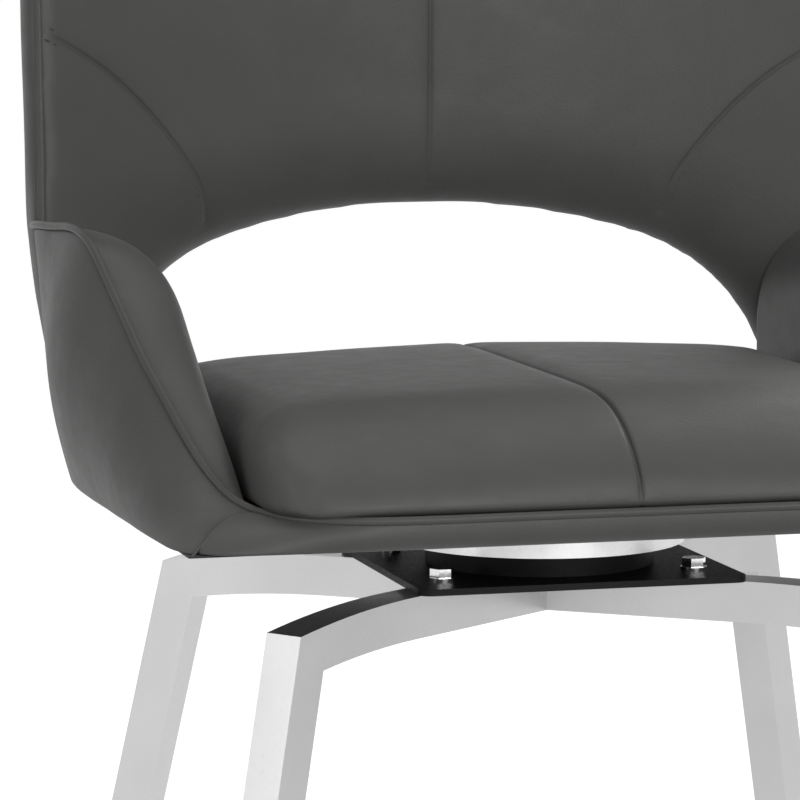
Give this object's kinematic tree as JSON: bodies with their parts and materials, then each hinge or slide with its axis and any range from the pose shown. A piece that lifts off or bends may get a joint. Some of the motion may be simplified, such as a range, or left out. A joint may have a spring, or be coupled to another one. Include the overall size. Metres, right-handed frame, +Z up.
{
  "type": "upholstered swivel dining chair",
  "caption": "Dark grey faux-leather dining chair with low wing arms and a horseshoe back opening, turning on a ball-bearing swivel over splayed square-tube steel legs",
  "frame": {"origin": "on the floor under the middle of the chair's width and depth", "axes": "+Z up and the chair faces -Y; left and right in names are as seen from the front, so left is -X"},
  "size_m": [0.5698, 0.523, 0.87],
  "materials": {
    "satin_steel": "satin brushed stainless tube",
    "black_steel": "gloss black powder coat",
    "bearing_steel": "oiled bearing steel",
    "zinc_steel": "bright zinc plate",
    "bright_bolts": "chromed hex bolts",
    "cage_plastic": "moulded nylon",
    "glide_plastic": "black polyethylene",
    "plywood": "raw plywood",
    "cover_cloth": "black non-woven cloth",
    "frame_steel": "black painted tube",
    "grey_leather": "fine-grained dark grey faux leather, soft sheen"
  },
  "bodies": {
    "base": {"bar_front_left": "satin_steel", "leg_front_left": "satin_steel", "bar_front_right": "satin_steel", "leg_front_right": "satin_steel", "bar_rear_left": "satin_steel", "leg_rear_left": "satin_steel", "bar_rear_right": "satin_steel", "leg_rear_right": "satin_steel", "foot_glide_front_left": "glide_plastic", "foot_glide_front_right": "glide_plastic", "foot_glide_rear_left": "glide_plastic", "foot_glide_rear_right": "glide_plastic", "swivel_base_plate": "black_steel", "base_bolts": "bright_bolts", "base_washers": "bright_bolts", "weld_nuts": "zinc_steel", "lower_race": "bearing_steel", "pivot_stud": "bearing_steel", "pivot_washer": "zinc_steel", "pivot_nut": "zinc_steel"},
    "ball_ring": {"bearing_balls": "bearing_steel", "ball_cage": "cage_plastic"},
    "seat": {"upper_race": "bearing_steel", "swivel_pan": "zinc_steel", "pan_screws": "zinc_steel", "seat_board": "plywood", "dust_cover": "cover_cloth", "seat_cushion": "grey_leather", "arm_pad_left": "grey_leather", "arm_pad_right": "grey_leather", "backrest": "grey_leather", "front_band": "grey_leather", "rear_band": "grey_leather", "back_post_left": "frame_steel", "back_post_right": "frame_steel", "back_rail_upper": "frame_steel", "back_rail_lower": "frame_steel", "frame_bolts": "zinc_steel", "tee_nuts": "zinc_steel"}
  },
  "joints": [
    {"name": "swivel", "type": "hinge", "parent": "base", "child": "seat", "pos_m": [0, -0.05321, 0.3808], "axis": [0, 0, 1], "continuous": true},
    {"name": "ball_turn", "type": "hinge", "parent": "base", "child": "ball_ring", "pos_m": [0, -0.05321, 0.3808], "axis": [0, 0, 1], "continuous": true}
  ],
  "couplings": [
    {"joint": "ball_turn", "follows": "swivel", "ratio": 0.5}
  ]
}
